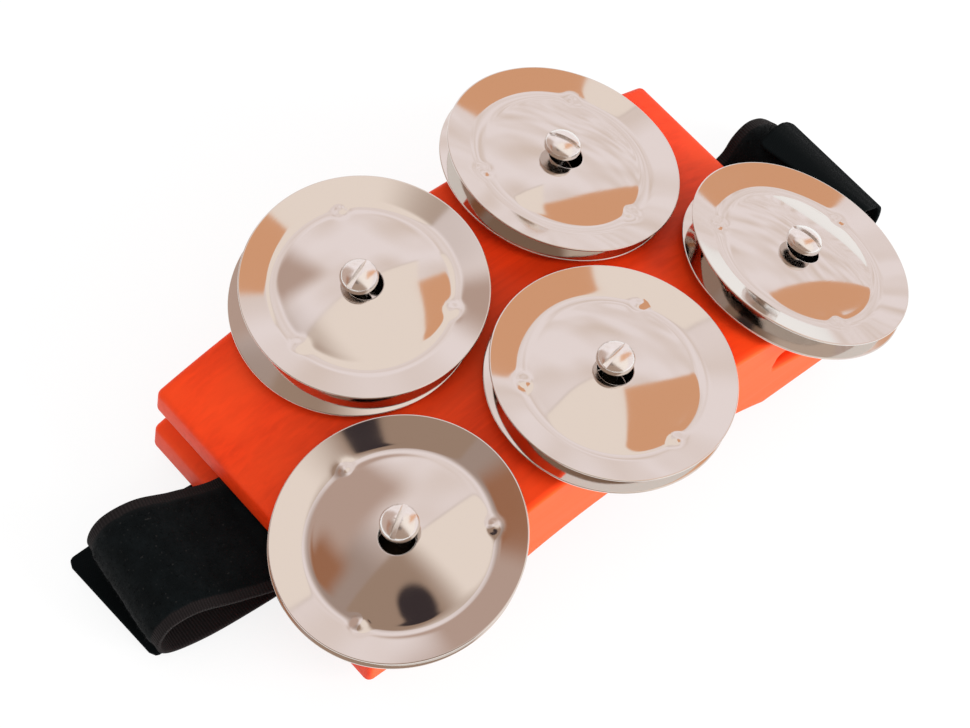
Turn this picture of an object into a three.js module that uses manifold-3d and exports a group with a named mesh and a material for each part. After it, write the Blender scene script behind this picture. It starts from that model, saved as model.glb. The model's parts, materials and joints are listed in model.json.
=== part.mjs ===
// Foot tambourine: a painted wooden block that sits on the instep, five pairs of steel jingles
// on round-head screws along its curved top, and hook-and-loop webbing that closes under the shoe.
// Millimetres, +Z up, +X along the block. The origin is on the floor under the middle of the block.
import * as THREE from 'three';
import { mergeVertices } from 'three/addons/utils/BufferGeometryUtils.js';
import Module from 'manifold-3d';

const wasm = await Module();
wasm.setup();

// Driving dimensions
const CLEAR = 0.3; // gap kept between pieces that touch

const JINGLE_D = 55;
const JINGLE_GAP = 3; // between the rims of neighbours
const SHEET = 0.5;
const VALLEY_R = 20; // radius of the pressed valley, on which the two jingles of a pair meet
const LIP_RISE = 1.9;
const DOME_RISE = 2.7;
const HOLE_D = 8;
const DIMPLE_DEEP = 0.45;
const DIMPLE_COUNT = 3;
const LOWER_TURN = 37; // degrees from an upper jingle's dimples to the lower one's

const HEAD_D = 8.5;
const HEAD_RISE = 3;
const HEAD_EDGE = 0.9;
const SHANK_D = 3.6;
const SCREW_LONG = 25; // below the head
const SCREW_TIP = 6;
const DRIVE_WIDE = 1.2;
const DRIVE_DEEP = 1.4;
const PLAY = 2.7; // room for a pair of jingles under the head

const BLOCK_WIDE = 75.2;
const BLOCK_HIGH = 35; // from the feet to the crown of the top
const CROWN_THICK = 24.3; // from the crown of the arch to the crown of the top
const TOP_RADIUS = 212;
const FOOT_LONG = 26;
const EASE = 1.5; // rounding of the front and back edges
const END_EASE = 1.8; // rounding of the edges across the ends
const FIRST_SCREW = 17.9; // from the left end, along the top
const LAST_SCREW = 14.3; // from the right end

const SLOT_LONG = 26.5;
const SLOT_DEEP = 13.4; // the slot's floor under the top
const SLOT_END_HIGH = 4.4;
const SLOT_MOUTH_HIGH = 6.1;

const STRAP_WIDE = 30;
const STRAP_Y = 0.6; // middle of the straps where they enter the slots
const PILE_THICK = 1.6;
const HOOK_THICK = 1.3;
const MOUTH_SAG = 3; // of the right strap under its slot's roof, at the mouth
const TUCK_LONG = 11; // the strap's end is doubled under by this much inside the slot
const TUCK_GAP = 0.5; // between the two leaves
const LEFT_REACH = 30.6; // how far the left loop stands out past the block
const PAST_RIM = 22.1; // how far the right strap's turn stands out past the last jingle's place
const HUMP_UNDER_RIM = 1; // from that jingle's rim down to the middle of the strap's hump
const HOOK_PAST = 1.6; // how far the hook strap's left end shows past the left loop
const HOOK_END_Y = 10.4; // middle of the hook strap at its left end
const FOLD_Y = -1.4; // middle of the hook strap where it turns back
const FLAP_LONG = 16.5; // of the hook strap, turned back over the right strap
const FLAP_ASKEW = THREE.MathUtils.degToRad(14); // the cut of its end
const UNDER_END = 7; // the left strap's end stops this short of the block's right end
const STRAP_CORNER = 3; // rounded corners at the cut ends

const NAIL_D = 1.6;
const NAIL_HEAD_D = 3;
const NAIL_HEAD_THICK = 0.8;
const NAIL_SUNK = 0.1;
const NAIL_BITE = 3.2; // into the wood over the slot
const NAIL_APART = 14;

// How each pair hangs on its screw, from the left. drilled is the screw's own distance off the even
// pattern, along and across. upper and lower are each jingle's drift off the screw's axis. lean and
// rock are the upper and the lower one's tilt about X and Y. lean, rock, dimples and drive (the
// screw's slot) are in degrees.
const HANG = [
  {
    name: 'a', drilled: [-0.1, -0.3], upper: [-1.5, -0.8], lower: [-1.8, 0.3],
    lean: [-0.5, -2.1], rock: [0.6, -1.6], dimples: 62, drive: 62,
  },
  {
    name: 'b', drilled: [-0.1, -0.7], upper: [0.9, -0.6], lower: [-1.8, -0.3],
    lean: [2.6, 1.1], rock: [1.4, -1.2], dimples: 15, drive: 52,
  },
  {
    name: 'c', drilled: [-0.3, 0], upper: [-0.1, -0.7], lower: [-0.5, -0.5],
    lean: [2.1, 1.8], rock: [1, 0.9], dimples: 80, drive: 44,
  },
  {
    name: 'd', drilled: [-0.4, 0.1], upper: [1.3, -0.7], lower: [1.7, 0.4],
    lean: [1.3, 2.2], rock: [0.7, 1.1], dimples: 34, drive: -8,
  },
  {
    name: 'e', drilled: [1.2, 1.2], upper: [1.0, -0.2], lower: [1.5, -0.3],
    lean: [3.2, 2.2], rock: [1.6, 0.3], dimples: 100, drive: 28,
  },
];

// Sizes that follow
const JINGLE_R = JINGLE_D / 2;
const PAIR_PITCH = (JINGLE_D + JINGLE_GAP) / 2; // along the top, from one screw to the next
const ROW_Y = (JINGLE_D + JINGLE_GAP) * Math.sqrt(3) / 4; // the two rows form equal triangles
const TOP_TURN = (FIRST_SCREW + (HANG.length - 1) * PAIR_PITCH + LAST_SCREW) / (2 * TOP_RADIUS);
const HALF = TOP_RADIUS * Math.sin(TOP_TURN); // half of the block's length
const FOOT_Z = HOOK_THICK + PILE_THICK + 2 * CLEAR; // the feet stand on two layers of webbing
const CROWN_Z = FOOT_Z + BLOCK_HIGH;
const TOP_CENTRE = CROWN_Z - TOP_RADIUS;
const ARCH_HALF = HALF - FOOT_LONG;
const ARCH_RISE = BLOCK_HIGH - CROWN_THICK;
const ARCH_RADIUS = (ARCH_HALF ** 2 + ARCH_RISE ** 2) / (2 * ARCH_RISE);
const ARCH_CENTRE = FOOT_Z + ARCH_RISE - ARCH_RADIUS;
const FLOOR_RADIUS = TOP_RADIUS - SLOT_DEEP;
const SLOT_END_TURN = Math.asin((HALF - SLOT_LONG) / FLOOR_RADIUS);
const SLOT_MOUTH_TURN = Math.asin(HALF / FLOOR_RADIUS);

// The lower jingle's rim is bent towards the wood
const RIM_SEAT = CLEAR + DOME_RISE - LIP_RISE;
const LAST_TURN = TOP_TURN - LAST_SCREW / TOP_RADIUS;
const LAST_RIM = new THREE.Vector2(JINGLE_R, 0).rotateAround(new THREE.Vector2(), -LAST_TURN)
  .add(onTop(TOP_RADIUS + RIM_SEAT, LAST_TURN));
const RIGHT_TURN = LAST_RIM.x + PAST_RIM;

// Where the slot's roof meets the block's end face
const MOUTH_ROOF = TOP_CENTRE + Math.sqrt((FLOOR_RADIUS + SLOT_MOUTH_HIGH) ** 2 - HALF ** 2);

const PAIR_SEAT = CLEAR + DOME_RISE + SHEET; // where the lower jingle's valley is, above the wood
const HEAD_SEAT = PAIR_SEAT + CLEAR + SHEET + DOME_RISE + CLEAR + PLAY; // underside of the head

const paint = { color: '#e8451c', roughness: 0.35, metalness: 0 };
const steel = { color: '#cfc9c4', roughness: 0.12, metalness: 1 };
const zinc = { color: '#b9bcbb', roughness: 0.3, metalness: 1 };
const pile = { color: '#0f1012', roughness: 0.95, metalness: 0 };
const hook = { color: '#14151a', roughness: 0.7, metalness: 0 };

// Solids and the joins between them
function asSolid(geometry) {
  const bare = geometry.clone();
  bare.deleteAttribute('normal');
  bare.deleteAttribute('uv');
  const merged = mergeVertices(bare, 1e-4);
  const corners = merged.index.array;
  const kept = [];
  for (let i = 0; i < corners.length; i += 3) {
    const [a, b, c] = corners.subarray(i, i + 3);
    if (a !== b && b !== c && c !== a) {
      kept.push(a, b, c); // the pole of a lathe leaves triangles without area
    }
  }
  return new wasm.Manifold(new wasm.Mesh({
    numProp: 3,
    vertProperties: new Float32Array(merged.attributes.position.array),
    triVerts: new Uint32Array(kept),
  }));
}

function asGeometry(solid) {
  const mesh = solid.getMesh();
  const geometry = new THREE.BufferGeometry();
  geometry.setAttribute('position', new THREE.BufferAttribute(new Float32Array(mesh.vertProperties), 3));
  geometry.setIndex(new THREE.BufferAttribute(new Uint32Array(mesh.triVerts), 1));
  geometry.computeVertexNormals();
  return geometry;
}

function cutFrom(geometry, tools) {
  let solid = asSolid(geometry);
  for (const tool of tools) {
    solid = solid.subtract(asSolid(tool));
  }
  return asGeometry(solid);
}

function mesh(name, geometry, finish) {
  const piece = new THREE.Mesh(geometry, new THREE.MeshStandardMaterial(finish));
  piece.name = name;
  return piece;
}

// A point at a radius and a turn from the vertical about the centre of the curved top
function onTop(radius, turn) {
  return new THREE.Vector2(radius * Math.sin(turn), TOP_CENTRE + radius * Math.cos(turn));
}

function roofRadius(turn) {
  const along = (Math.abs(turn) - SLOT_END_TURN) / (SLOT_MOUTH_TURN - SLOT_END_TURN);
  return FLOOR_RADIUS + THREE.MathUtils.lerp(SLOT_END_HIGH, SLOT_MOUTH_HIGH, along);
}

function steps(count, at) {
  return Array.from({ length: count + 1 }, (_, i) => at(i / count));
}

// Block: sawn from the solid, seen from the front as one outline
function easedCorner(before, corner, after) {
  const back = before.clone().sub(corner).normalize();
  const on = after.clone().sub(corner).normalize();
  const half = Math.acos(back.dot(on)) / 2;
  const centre = back.clone().add(on).setLength(END_EASE / Math.sin(half)).add(corner);
  const reach = END_EASE / Math.tan(half);
  const start = corner.clone().addScaledVector(back, reach).sub(centre);
  const end = corner.clone().addScaledVector(on, reach).sub(centre);
  const sweep = Math.asin(THREE.MathUtils.clamp(start.cross(end) / END_EASE ** 2, -1, 1));
  const full = start.dot(end) < 0 ? Math.sign(sweep) * Math.PI - sweep : sweep;
  return [0, 1, 2, 3].map((i) => start.clone().rotateAround(new THREE.Vector2(), (full * i) / 3).add(centre));
}

const TOP_CORNER = onTop(TOP_RADIUS, TOP_TURN);
const FOOT_CORNER = new THREE.Vector2(HALF, FOOT_Z);

function rightHalfOutline() {
  const footInner = new THREE.Vector2(ARCH_HALF, FOOT_Z);
  const top = steps(14, (t) => onTop(TOP_RADIUS, t * TOP_TURN));
  const archFrom = Math.atan2(FOOT_Z - ARCH_CENTRE, ARCH_HALF);
  const arch = steps(10, (t) => {
    const angle = THREE.MathUtils.lerp(archFrom, Math.PI / 2, t);
    return new THREE.Vector2(ARCH_RADIUS * Math.cos(angle), ARCH_CENTRE + ARCH_RADIUS * Math.sin(angle));
  });
  return [
    ...top.slice(0, -1),
    ...easedCorner(top.at(-2), TOP_CORNER, FOOT_CORNER),
    ...easedCorner(TOP_CORNER, FOOT_CORNER, footInner),
    ...arch,
  ];
}

// Slot: widens from its end to its mouth, where the edges of both lips are rounded
function slotCutter(side) {
  const slotTurn = (t) => THREE.MathUtils.lerp(SLOT_END_TURN, SLOT_MOUTH_TURN, t);
  const floor = steps(5, (t) => onTop(FLOOR_RADIUS, slotTurn(t)));
  const roof = steps(5, (t) => onTop(roofRadius(slotTurn(1 - t)), slotTurn(1 - t)));
  const lowerLip = easedCorner(floor.at(-2), floor.at(-1), FOOT_CORNER);
  const upperLip = easedCorner(TOP_CORNER, new THREE.Vector2(HALF, MOUTH_ROOF), roof[1]);
  const outline = new THREE.Shape([
    ...floor.slice(0, -1),
    ...lowerLip,
    new THREE.Vector2(HALF + END_EASE, lowerLip.at(-1).y),
    new THREE.Vector2(HALF + END_EASE, upperLip[0].y),
    ...upperLip,
    ...roof.slice(1),
  ]);
  const cutter = new THREE.ExtrudeGeometry(outline, { depth: BLOCK_WIDE + 2, bevelEnabled: false });
  cutter.translate(0, 0, -BLOCK_WIDE / 2 - 1);
  cutter.rotateX(Math.PI / 2);
  return side < 0 ? cutter.rotateZ(Math.PI) : cutter;
}

function blockGeometry(tools) {
  const right = rightHalfOutline();
  const left = right.slice(1, -1).reverse().map((point) => new THREE.Vector2(-point.x, point.y));
  const body = new THREE.ExtrudeGeometry(new THREE.Shape([...right, ...left]), {
    depth: BLOCK_WIDE - 2 * EASE,
    bevelThickness: EASE,
    bevelSize: EASE,
    bevelOffset: -EASE,
    bevelSegments: 3,
  });
  body.rotateX(Math.PI / 2);
  body.translate(0, BLOCK_WIDE / 2 - EASE, 0);
  return cutFrom(body, [slotCutter(-1), slotCutter(1), ...tools]);
}

// Lathe about the Z axis, from a closed profile of radius and height
function turned(profile, segments) {
  const geometry = new THREE.LatheGeometry(profile, segments);
  geometry.rotateX(Math.PI / 2);
  return geometry;
}

// Jingle: pressed sheet with a dome, a valley and a raised lip, three punched dimples in the valley
function jingleHeight(radius) {
  if (radius <= VALLEY_R) {
    return DOME_RISE * (1 - (radius / VALLEY_R) ** 2);
  }
  return (LIP_RISE * (radius - VALLEY_R)) / (JINGLE_R - VALLEY_R);
}

function jingleGeometry() {
  const holeR = HOLE_D / 2;
  const shares = [0, 0.25, 0.5, 0.75, 1];
  const radii = [...shares.map((step) => THREE.MathUtils.lerp(holeR, VALLEY_R, step)), JINGLE_R];
  const under = radii.map((radius) => new THREE.Vector2(radius, jingleHeight(radius)));
  const over = under.map((point) => new THREE.Vector2(point.x, point.y + SHEET)).reverse();
  const segments = DIMPLE_COUNT * 12;
  const geometry = turned([...under, ...over, under[0].clone()], segments);
  geometry.deleteAttribute('normal');
  geometry.deleteAttribute('uv');
  const merged = mergeVertices(geometry, 1e-4);
  const place = merged.attributes.position;
  for (let i = 0; i < place.count; i += 1) {
    const radius = Math.hypot(place.getX(i), place.getY(i));
    const angle = Math.atan2(place.getY(i), place.getX(i));
    const fromDimple = Math.abs(Math.sin((angle * DIMPLE_COUNT) / 2));
    if (Math.abs(radius - VALLEY_R) < 0.1 && fromDimple < 0.05) {
      place.setZ(i, place.getZ(i) + DIMPLE_DEEP);
    }
  }
  return merged;
}

// Screw: slotted round head, plain shank, tapered point
function screwGeometry(driveTurn) {
  const head = HEAD_D / 2;
  const shank = SHANK_D / 2;
  const dome = [];
  for (let i = 0; i <= 5; i += 1) {
    const angle = (Math.PI / 2) * (i / 5);
    dome.push(new THREE.Vector2(head * Math.cos(angle), HEAD_EDGE + (HEAD_RISE - HEAD_EDGE) * Math.sin(angle)));
  }
  dome.at(-1).x = 0;
  const profile = [
    new THREE.Vector2(0, -SCREW_LONG),
    new THREE.Vector2(shank * 0.35, -SCREW_LONG + 0.8),
    new THREE.Vector2(shank, -SCREW_LONG + SCREW_TIP),
    new THREE.Vector2(shank, 0),
    new THREE.Vector2(head, 0),
    ...dome,
  ];
  const drive = new THREE.BoxGeometry(HEAD_D + 2, DRIVE_WIDE, 2 * DRIVE_DEEP);
  drive.translate(0, 0, HEAD_RISE);
  drive.rotateZ(THREE.MathUtils.degToRad(driveTurn));
  return cutFrom(turned(profile, 24), [drive]);
}

function pilotHole() {
  const radius = SHANK_D / 2 + CLEAR;
  const profile = [
    new THREE.Vector2(0, -SCREW_LONG - 2 * CLEAR),
    new THREE.Vector2(radius * 0.6, -SCREW_LONG),
    new THREE.Vector2(radius, -SCREW_LONG + SCREW_TIP - CLEAR),
    new THREE.Vector2(radius, 0),
    new THREE.Vector2(0, 0),
  ];
  return turned(profile, 16);
}

// Nail: driven up from a foot, through the strap's doubled end
function nailPlaces() {
  const turn = SLOT_END_TURN + (CLEAR + PILE_THICK + TUCK_LONG / 2) / FLOOR_RADIUS;
  const places = [];
  for (const side of [-1, 1]) {
    for (const along of [-1, 1]) {
      places.push({
        name: `strap_nail_${side < 0 ? 'left' : 'right'}_${along < 0 ? 'front' : 'back'}`,
        side,
        x: onTop(FLOOR_RADIUS, side * turn).x,
        y: STRAP_Y + (along * NAIL_APART) / 2,
        tip: onTop(roofRadius(turn), turn).y + NAIL_BITE,
      });
    }
  }
  return places;
}

function nailProfile(place, grow) {
  const shank = NAIL_D / 2 + grow;
  const head = NAIL_HEAD_D / 2 + grow;
  const base = FOOT_Z + NAIL_SUNK - 4 * grow;
  const neck = FOOT_Z + NAIL_SUNK + NAIL_HEAD_THICK + grow;
  return [
    new THREE.Vector2(0, base),
    new THREE.Vector2(head, base),
    new THREE.Vector2(head, neck),
    new THREE.Vector2(shank, neck),
    new THREE.Vector2(shank, place.tip - 2 * NAIL_D),
    new THREE.Vector2(0, place.tip + grow),
  ];
}

function nailGeometry(place, grow = 0) {
  const geometry = turned(nailProfile(place, grow), 12);
  geometry.translate(place.x, place.y, 0);
  return geometry;
}

function bendLine(degrees) {
  const turn = THREE.MathUtils.degToRad(degrees);
  return new THREE.Vector3(-Math.sin(turn), Math.cos(turn), 0);
}

// Webbing: a flat band along a route of centre points. The fourth value of a row is the turn in plan,
// in degrees, of the line about which the webbing bends there.
function bandGeometry(route, thick, share) {
  const centre = new THREE.CatmullRomCurve3(route.map(([x, y, z]) => new THREE.Vector3(x, y, z)));
  const turns = new THREE.CatmullRomCurve3(route.map(([, , , turn], i) => new THREE.Vector3(i, turn, 0)));
  const count = (route.length - 1) * share;
  const stations = steps(count, (t) => {
    const tangent = centre.getTangent(t);
    const at = centre.getPoint(t);
    at.z = Math.max(at.z, thick / 2); // on the floor
    const up = tangent.clone().cross(bendLine(turns.getPoint(t).y)).normalize();
    return { at, across: up.clone().cross(tangent), up };
  });
  const narrowed = (distance) => {
    const into = Math.max(0, STRAP_CORNER - distance);
    return STRAP_CORNER - Math.sqrt(STRAP_CORNER ** 2 - into ** 2);
  };
  const positions = [];
  const first = stations[0].at;
  const last = stations.at(-1).at;
  for (const { at, across, up } of stations) {
    const nearest = Math.min(at.distanceTo(first), at.distanceTo(last));
    const half = STRAP_WIDE / 2 - narrowed(nearest);
    for (const [w, h] of [[-1, -1], [1, -1], [1, 1], [-1, 1]]) {
      const point = at.clone().addScaledVector(across, w * half).addScaledVector(up, (h * thick) / 2);
      positions.push(point.x, point.y, point.z);
    }
  }
  const index = [0, 2, 1, 0, 3, 2];
  for (let i = 0; i < count; i += 1) {
    for (let k = 0; k < 4; k += 1) {
      const a = i * 4 + k;
      const b = i * 4 + ((k + 1) % 4);
      index.push(a, b, a + 4, b, b + 4, a + 4);
    }
  }
  const end = count * 4;
  index.push(end, end + 1, end + 2, end, end + 2, end + 3);
  const geometry = new THREE.BufferGeometry();
  geometry.setAttribute('position', new THREE.Float32BufferAttribute(positions, 3));
  geometry.setIndex(index);
  return geometry;
}

// The doubled end inside a slot: the lower leaf comes in, turns over and goes out again on top
function tuckedEnd(side) {
  const leaf = PILE_THICK + TUCK_GAP;
  const inner = SLOT_END_TURN + (CLEAR + PILE_THICK / 2 + leaf / 2) / FLOOR_RADIUS;
  const place = (along, lift) => {
    const point = onTop(FLOOR_RADIUS + CLEAR + PILE_THICK / 2 + lift, side * (inner + along / FLOOR_RADIUS));
    return [point.x, STRAP_Y, point.y, 0];
  };
  return [
    place(TUCK_LONG, 0),
    place(TUCK_LONG / 2, 0),
    place(0.3, 0),
    place(-leaf / 2, leaf / 2),
    place(0.3, leaf),
    place(TUCK_LONG / 2, leaf),
  ];
}

// Left loop: out of the slot, up and over, and back under the block to the far foot
function leftStrapRoute() {
  const under = HOOK_THICK + CLEAR + PILE_THICK / 2;
  const mouth = MOUTH_ROOF - CLEAR - PILE_THICK / 2 - 0.4;
  const out = (distance) => -HALF - distance;
  return [
    ...tuckedEnd(-1),
    [out(0), 1.4, mouth, 0],
    [out(LEFT_REACH - 20), 3.6, mouth + 2, -4],
    [out(LEFT_REACH - 10), 5.8, mouth + 4.2, -6],
    [out(LEFT_REACH - 3.4), 6.9, mouth + 2.2, -6],
    [out(LEFT_REACH - 0.8), 7.2, mouth - 3.6, -6],
    [out(LEFT_REACH - 2.6), 7.1, mouth - 8.6, -5],
    [out(LEFT_REACH - 11), 6.8, under + 2.6, -3],
    [out(5), 6.4, under + 0.3, 0],
    [-HALF + 6, 6.2, under, 0],
    [0, 4.4, under, 0],
    [HALF - UNDER_END, 2.6, under, 0],
  ];
}

// Right strap: out of the slot, up in a hump at the last jingle's rim, and down into the turn of the
// hook strap. Each point of the hump is a distance past the rim and a share of the hump's height.
const MOUTH_MIDDLE = MOUTH_ROOF - CLEAR - PILE_THICK / 2 - MOUTH_SAG;
const HUMP = new THREE.CatmullRomCurve3([
  [HALF - LAST_RIM.x, 0],
  [-7.3, 0.02],
  [-4.1, 0.25],
  [-2.8, 0.64],
  [-0.1, 1],
  [3.9, 0.99],
  [8.5, 0.62],
  [13.1, 0.05],
  [15.9, -0.3],
].map(([past, high]) => new THREE.Vector3(
  LAST_RIM.x + past,
  STRAP_Y,
  THREE.MathUtils.lerp(MOUTH_MIDDLE, LAST_RIM.y - HUMP_UNDER_RIM, high),
)));

// lift is the distance off the hump's middle surface, shift the distance across its width
function humpRow(along, lift, shift) {
  const share = THREE.MathUtils.clamp(along / HUMP.getLength(), 0, 1);
  const up = HUMP.getTangentAt(share).cross(bendLine(0));
  const at = HUMP.getPointAt(share).addScaledVector(up, lift);
  return [at.x, at.y + shift, at.z, 0];
}

function rightStrapRoute() {
  return [...tuckedEnd(1), ...steps(8, (share) => humpRow(share * HUMP.getLength(), 0, 0))];
}

// Hook strap: from under the left loop, along the floor, round the right strap's end and back over it
function hookStrapRoute() {
  const floor = HOOK_THICK / 2;
  const left = -HALF - LEFT_REACH - HOOK_PAST;
  const run = RIGHT_TURN - 14 - left;
  const onFloor = (along, turn) => {
    const y = THREE.MathUtils.lerp(HOOK_END_Y, FOLD_Y, along / run);
    return [left + along, y, floor, turn];
  };
  const top = HUMP.points.at(-1);
  const turnBack = (out, up) => {
    const x = THREE.MathUtils.lerp(top.x, RIGHT_TURN, out);
    return [x, FOLD_Y, THREE.MathUtils.lerp(floor, top.z, up), 0];
  };
  const over = PILE_THICK / 2 + HOOK_THICK / 2 + 1.5 * CLEAR;
  const flapLong = FLAP_LONG + (STRAP_WIDE / 2) * Math.tan(FLAP_ASKEW) + 1;
  const flap = (share) => humpRow(HUMP.getLength() - share * flapLong, over, FOLD_Y - STRAP_Y - 2 * share);
  return [
    onFloor(0, 3),
    onFloor(2, 3),
    onFloor(8, 0),
    onFloor(run / 2, 0),
    onFloor(run, 0),
    turnBack(0.35, 0),
    turnBack(0.73, 0.09),
    turnBack(0.82, 0.34),
    turnBack(0.71, 0.77),
    ...steps(6, flap),
  ];
}

// The hook strap's flap is cut off askew, its front corner further out than the back one
function flapCutter() {
  const [x, y, z] = humpRow(HUMP.getLength() - FLAP_LONG, 0, 0);
  const past = 20;
  const high = 12;
  const cutter = new THREE.BoxGeometry(past, 2 * STRAP_WIDE, high);
  cutter.translate(-past / 2, 0, high / 3);
  cutter.rotateZ(FLAP_ASKEW);
  cutter.translate(x, y, z);
  return cutter;
}

// Assembly
function facing(turn, down) {
  const spin = new THREE.Euler(down ? Math.PI : 0, 0, THREE.MathUtils.degToRad(turn), 'ZXY');
  return new THREE.Quaternion().setFromEuler(spin);
}

function tilted([aboutX, aboutY]) {
  const tilt = new THREE.Euler(THREE.MathUtils.degToRad(aboutX), THREE.MathUtils.degToRad(aboutY), 0);
  return new THREE.Quaternion().setFromEuler(tilt);
}

const tambourine = new THREE.Group();
const seats = HANG.map((pair, i) => {
  const along = FIRST_SCREW - TOP_RADIUS * TOP_TURN + i * PAIR_PITCH + pair.drilled[0];
  const turn = along / TOP_RADIUS;
  const foot = onTop(TOP_RADIUS, turn);
  const seat = new THREE.Group();
  seat.position.set(foot.x, (i % 2 === 0 ? -ROW_Y : ROW_Y) + pair.drilled[1], foot.y);
  seat.rotation.y = turn;
  seat.updateMatrixWorld(true);
  return seat;
});

const pilotHoles = seats.map((seat) => {
  const hole = pilotHole();
  hole.translate(0, 0, HEAD_SEAT);
  return hole.applyMatrix4(seat.matrixWorld);
});
const nails = nailPlaces();
const nailHoles = nails.map((place) => nailGeometry(place, CLEAR));
tambourine.add(mesh('body_block', blockGeometry([...pilotHoles, ...nailHoles]), paint));

const jingle = jingleGeometry();
HANG.forEach((pair, i) => {
  const seat = seats[i];
  const apart = Math.hypot(pair.lean[0] - pair.rock[0], pair.lean[1] - pair.rock[1]);
  const opened = VALLEY_R * Math.sin(THREE.MathUtils.degToRad(apart));
  const lower = mesh(`jingle_${pair.name}_lower`, jingle, steel);
  lower.quaternion.copy(tilted(pair.rock).multiply(facing(pair.dimples + LOWER_TURN, true)));
  lower.position.set(pair.lower[0], pair.lower[1], PAIR_SEAT);
  const upper = mesh(`jingle_${pair.name}_upper`, jingle, steel);
  upper.quaternion.copy(tilted(pair.lean).multiply(facing(pair.dimples, false)));
  upper.position.set(pair.upper[0], pair.upper[1], PAIR_SEAT + CLEAR + opened);
  const screw = mesh(`screw_${pair.name}`, screwGeometry(pair.drive), zinc);
  screw.position.z = HEAD_SEAT;
  seat.add(lower, upper, screw);
  tambourine.add(seat);
});

const throughStrap = (side) => nails.filter((place) => place.side === side)
  .map((place) => nailGeometry(place, CLEAR));
tambourine.add(
  mesh('pile_strap_left', cutFrom(bandGeometry(leftStrapRoute(), PILE_THICK, 4), throughStrap(-1)), pile),
  mesh('pile_strap_right', cutFrom(bandGeometry(rightStrapRoute(), PILE_THICK, 4), throughStrap(1)), pile),
  mesh('hook_strap', cutFrom(bandGeometry(hookStrapRoute(), HOOK_THICK, 4), [flapCutter()]), hook),
);
for (const place of nails) {
  tambourine.add(mesh(place.name, nailGeometry(place), zinc));
}

export default tambourine;
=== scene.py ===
import json
import math

import bpy
import numpy as np
from mathutils import Matrix, Quaternion, Vector


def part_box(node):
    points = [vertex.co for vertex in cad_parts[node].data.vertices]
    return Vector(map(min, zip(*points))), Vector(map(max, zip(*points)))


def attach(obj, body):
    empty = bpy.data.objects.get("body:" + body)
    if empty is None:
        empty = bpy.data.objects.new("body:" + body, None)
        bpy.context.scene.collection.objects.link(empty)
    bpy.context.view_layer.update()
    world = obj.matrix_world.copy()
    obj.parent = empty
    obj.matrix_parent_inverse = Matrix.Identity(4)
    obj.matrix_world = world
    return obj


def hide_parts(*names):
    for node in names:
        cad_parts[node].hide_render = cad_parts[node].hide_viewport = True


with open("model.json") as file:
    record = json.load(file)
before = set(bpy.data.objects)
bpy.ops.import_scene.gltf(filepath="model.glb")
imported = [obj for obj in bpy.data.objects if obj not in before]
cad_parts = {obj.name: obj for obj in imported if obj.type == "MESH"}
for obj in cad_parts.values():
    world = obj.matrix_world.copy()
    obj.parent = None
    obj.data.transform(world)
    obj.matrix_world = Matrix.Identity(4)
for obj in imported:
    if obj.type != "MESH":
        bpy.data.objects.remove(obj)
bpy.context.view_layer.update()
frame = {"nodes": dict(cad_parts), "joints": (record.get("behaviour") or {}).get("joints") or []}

# Camera: a long lens over the front left corner of the block, tipped to one side. Its place was worked
# out from the rims of the five upper jingles as the photograph shows them.
MM = 0.001
CAMERA_PLACE = Vector((-302.9, -227.0, 579.2)) * MM
CAMERA_AIM = Vector((-12.1, -1.7, 30.0)) * MM
CAMERA_ROLL = math.radians(13.34)
SENSOR_WIDE = 36
LENS = 111.63

scene = bpy.context.scene
scene.view_settings.view_transform = "Standard"

lens = bpy.data.cameras.new("camera")
lens.sensor_width = SENSOR_WIDE
lens.lens = LENS
camera = bpy.data.objects.new("camera", lens)
scene.collection.objects.link(camera)
level = (CAMERA_AIM - CAMERA_PLACE).to_track_quat("-Z", "Y")
camera.matrix_world = Matrix.LocRotScale(CAMERA_PLACE, level @ Quaternion((0, 0, 1), CAMERA_ROLL), None)
scene.camera = camera


# Room: a pale studio. What the lens sees past the floor is plain white. The bright steel sees the same
# white with the room's other parts in it: a tan wooden wall, a beige one, and the dim side of the room.
def linear(hex_colour):
    """An sRGB hex colour as a linear RGBA value."""
    parts = [int(hex_colour[i:i + 2], 16) / 255 for i in (1, 3, 5)]
    return [p / 12.92 if p <= 0.04045 else ((p + 0.055) / 1.055) ** 2.4 for p in parts] + [1]


def add_node(tree, kind, inputs=(), **settings):
    """Adds a node. inputs maps its sockets to plain values or to other nodes' outputs."""
    node = tree.nodes.new(kind)
    for name, value in settings.items():
        setattr(node, name, value)
    for socket, value in dict(inputs).items():
        if isinstance(value, bpy.types.NodeSocket):
            tree.links.new(value, node.inputs[socket])
        else:
            node.inputs[socket].default_value = value
    return node


def looking_rays(tree):
    """1 for rays from the lens, and 1 for those and for rays that look by way of steel or glass."""
    ray = add_node(tree, "ShaderNodeLightPath").outputs
    turned = {0: ray["Is Glossy Ray"], 1: ray["Is Transmission Ray"]}
    mirrored = add_node(tree, "ShaderNodeMath", turned, operation="MAXIMUM").outputs[0]
    either = {0: ray["Is Camera Ray"], 1: mirrored}
    return ray["Is Camera Ray"], add_node(tree, "ShaderNodeMath", either, operation="MAXIMUM").outputs[0]


WHITE = linear("#FFFFFF")
CEILING = linear("#FFF5F6")
CEILING_SHADE = linear("#EBDBD3")
TAN_WALL = linear("#E8AE87")
BEIGE_WALL = linear("#FFF3EA")
DIM_SIDE = linear("#AA9180")
BROWN_CORNER = linear("#A8765A")
DIM_CEILING = linear("#AF9B91")
GREY_PINK = linear("#C6ADA1")
DARK_SPOT = linear("#3E3537")
SKY_LIGHT = 1.0
HORIZON = 0.05 # directions lower than this count as this high
WALL_SLANT = -0.9
SPOT_FIT = ((0.8, 0.31), (0.55, 0.04)) # stretch and shift of the dark spot, along and across

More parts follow.
